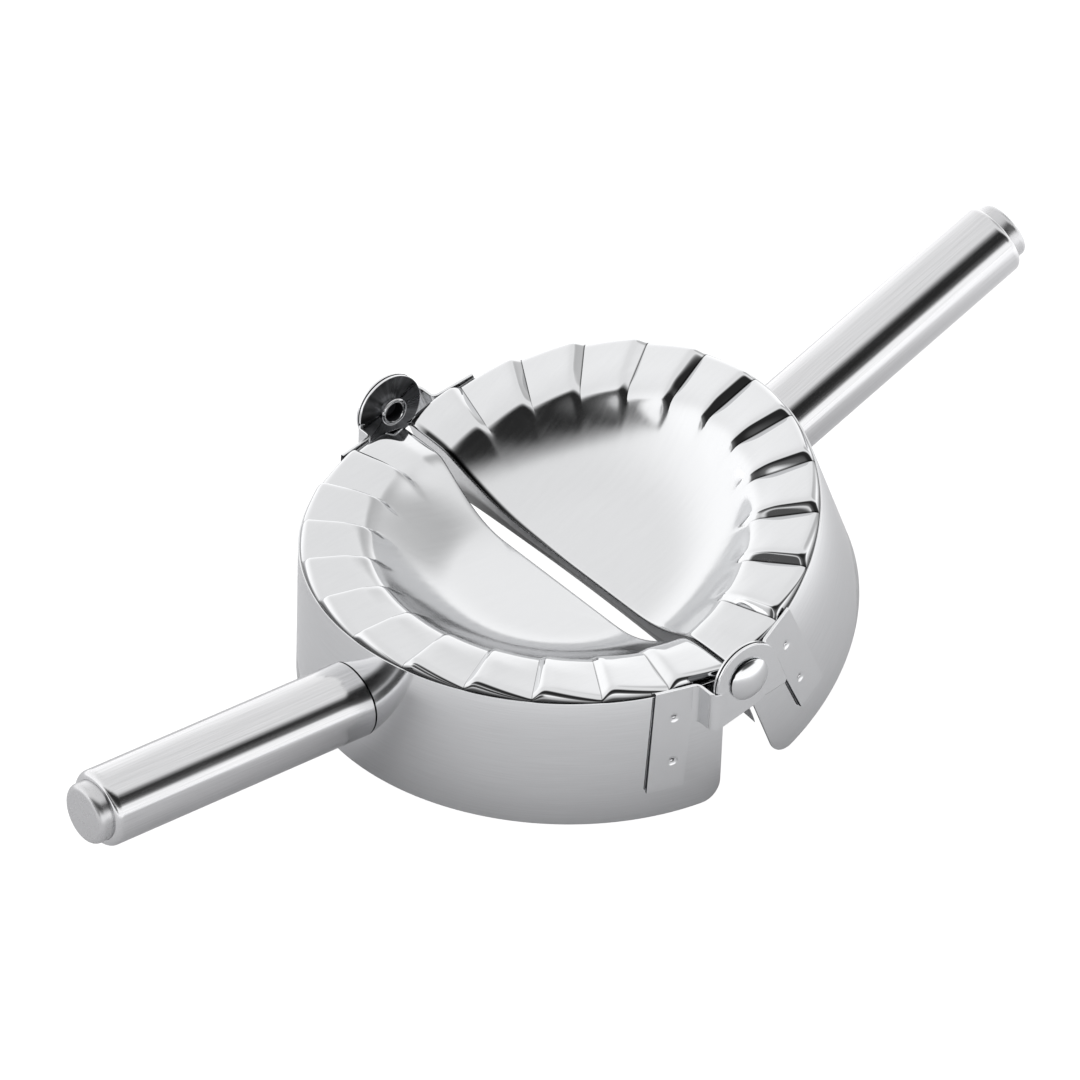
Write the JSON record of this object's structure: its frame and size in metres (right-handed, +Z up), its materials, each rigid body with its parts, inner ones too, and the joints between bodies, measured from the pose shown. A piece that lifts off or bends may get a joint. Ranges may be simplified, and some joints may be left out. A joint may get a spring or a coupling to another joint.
{
  "type": "empanada press",
  "caption": "Hinged hand press for filled half-moon pastries: two half-round pleated forms on skirts, with a tube handle on each side.",
  "frame": {"origin": "on the resting surface, straight below the middle of the hinge axis", "axes": "+X along the handles towards the raised far half, +Y along the hinge axis, +Z up"},
  "size_m": [0.2828, 0.146, 0.0822],
  "materials": {
    "polished_sheet": "mirror-polished stainless sheet, pressed",
    "polished_wall": "finely brushed stainless sheet with a soft shine",
    "brushed_tube": "stainless tube brushed along its length",
    "turned_cap": "satin stainless",
    "plug_alloy": "turned alloy, out of sight",
    "screw_steel": "plain steel screw",
    "satin_leaf": "satin stainless strip",
    "polished_rivet": "polished domed head"
  },
  "bodies": {
    "near_half": {"near_form": "polished_sheet", "near_skirt": "polished_wall", "near_grip_tube": "brushed_tube", "near_end_cap": "turned_cap", "near_handle_plug": "plug_alloy", "near_handle_screw": "screw_steel", "front_near_leaf": "satin_leaf", "back_near_leaf": "satin_leaf", "front_rivet": "polished_rivet", "back_rivet": "polished_rivet"},
    "far_half": {"far_form": "polished_sheet", "far_skirt": "polished_wall", "far_grip_tube": "brushed_tube", "far_end_cap": "turned_cap", "far_handle_plug": "plug_alloy", "far_handle_screw": "screw_steel", "front_far_leaf": "satin_leaf", "back_far_leaf": "satin_leaf"}
  },
  "joints": [
    {"name": "form_fold", "type": "hinge", "parent": "near_half", "child": "far_half", "pos_m": [0, 0, 0.038], "axis": [0, -1, 0], "range_deg": [-23.4, 156.6]}
  ]
}
